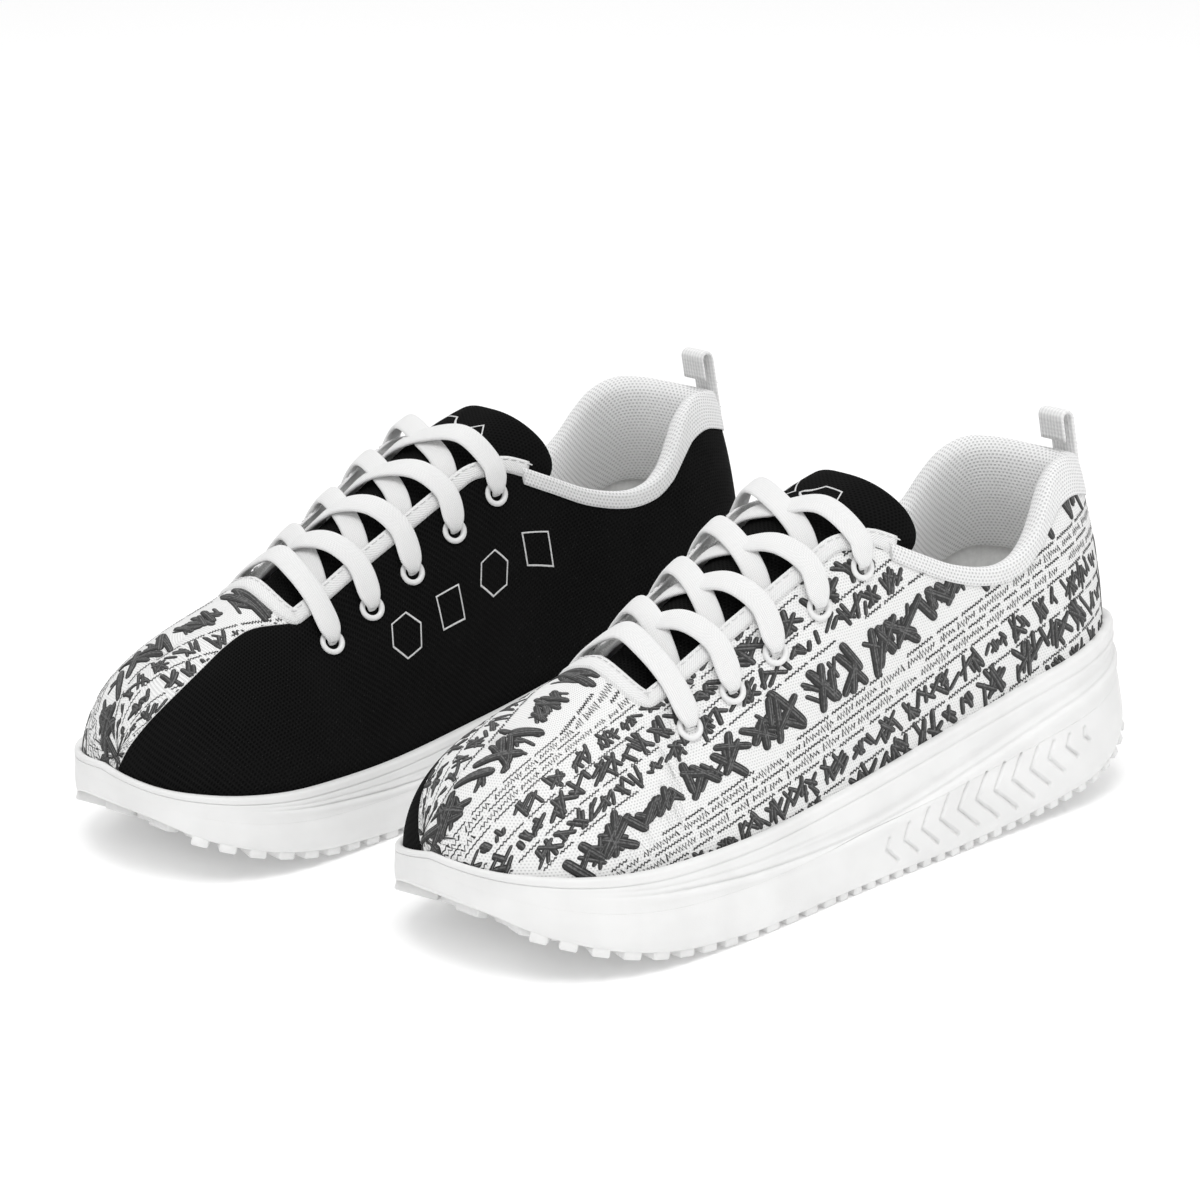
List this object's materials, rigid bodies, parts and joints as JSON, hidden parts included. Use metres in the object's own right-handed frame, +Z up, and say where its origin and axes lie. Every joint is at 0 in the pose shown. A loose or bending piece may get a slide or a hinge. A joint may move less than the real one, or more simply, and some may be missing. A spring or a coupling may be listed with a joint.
{
  "type": "pair of cheer shoes",
  "caption": "Pair of low laced cheer trainers with printed mesh uppers, padded collars, heel pull tabs and thick white rocker soles with a lugged tread.",
  "frame": {"origin": "bottom centre of the pair's bounding box, on the ground", "axes": "toes point to -X and heels to +X, the left shoe stands at -Y and the right shoe at +Y, +Z up"},
  "size_m": [0.2686, 0.2448, 0.1123],
  "materials": {
    "sole_foam": "matt, white moulded foam",
    "board": "pressed fibre",
    "lining_mesh": "white air mesh over foam",
    "printed_mesh": "white mesh with a grey and black stroke print",
    "black_mesh": "black mesh with thin white outlined shapes",
    "stiffener": "matt sheet",
    "webbing": "ribbed white webbing",
    "lace_weave": "flat woven white",
    "eyelet_plastic": "satin white"
  },
  "bodies": {
    "left_shoe": {"left_outsole": "sole_foam", "left_midsole": "sole_foam", "left_lasting_board": "board", "left_footbed": "lining_mesh", "left_printed_upper": "printed_mesh", "left_medial_quarter": "black_mesh", "left_toe_puff": "stiffener", "left_heel_counter": "stiffener", "left_collar_lining": "lining_mesh", "left_throat_binding": "webbing", "left_lace": "lace_weave", "left_lateral_eyelet_1": "eyelet_plastic", "left_lateral_eyelet_2": "eyelet_plastic", "left_lateral_eyelet_3": "eyelet_plastic", "left_lateral_eyelet_4": "eyelet_plastic", "left_lateral_eyelet_5": "eyelet_plastic", "left_medial_eyelet_1": "eyelet_plastic", "left_medial_eyelet_2": "eyelet_plastic", "left_medial_eyelet_3": "eyelet_plastic", "left_medial_eyelet_4": "eyelet_plastic", "left_medial_eyelet_5": "eyelet_plastic"},
    "left_tongue_body": {"left_tongue": "black_mesh"},
    "left_tab_body": {"left_pull_tab": "webbing"},
    "right_shoe": {"right_outsole": "sole_foam", "right_midsole": "sole_foam", "right_lasting_board": "board", "right_footbed": "lining_mesh", "right_printed_upper": "printed_mesh", "right_medial_quarter": "black_mesh", "right_toe_puff": "stiffener", "right_heel_counter": "stiffener", "right_collar_lining": "lining_mesh", "right_throat_binding": "webbing", "right_lace": "lace_weave", "right_lateral_eyelet_1": "eyelet_plastic", "right_lateral_eyelet_2": "eyelet_plastic", "right_lateral_eyelet_3": "eyelet_plastic", "right_lateral_eyelet_4": "eyelet_plastic", "right_lateral_eyelet_5": "eyelet_plastic", "right_medial_eyelet_1": "eyelet_plastic", "right_medial_eyelet_2": "eyelet_plastic", "right_medial_eyelet_3": "eyelet_plastic", "right_medial_eyelet_4": "eyelet_plastic", "right_medial_eyelet_5": "eyelet_plastic"},
    "right_tongue_body": {"right_tongue": "black_mesh"},
    "right_tab_body": {"right_pull_tab": "webbing"}
  },
  "joints": [
    {"name": "pair_apart", "type": "slide", "parent": "left_shoe", "child": "right_shoe", "axis": [0, 1, 0], "range_m": [0, 0.08]},
    {"name": "left_tongue_flex", "type": "hinge", "parent": "left_shoe", "child": "left_tongue_body", "pos_m": [-0.05715, -0.07375, 0.066], "axis": [0, 1, 0], "range_deg": [0, 5], "stiffness_Nm_per_rad": 0.4, "springref_deg": -2.29},
    {"name": "left_tab_flex", "type": "hinge", "parent": "left_shoe", "child": "left_tab_body", "pos_m": [0.13135, -0.07475, 0.091], "axis": [0, 1, 0], "range_deg": [0, 20], "stiffness_Nm_per_rad": 0.01},
    {"name": "right_tongue_flex", "type": "hinge", "parent": "right_shoe", "child": "right_tongue_body", "pos_m": [-0.07465, 0.07375, 0.066], "axis": [0, 1, 0], "range_deg": [0, 5], "stiffness_Nm_per_rad": 0.4, "springref_deg": -2.29},
    {"name": "right_tab_flex", "type": "hinge", "parent": "right_shoe", "child": "right_tab_body", "pos_m": [0.11385, 0.07475, 0.091], "axis": [0, 1, 0], "range_deg": [0, 20], "stiffness_Nm_per_rad": 0.01}
  ]
}
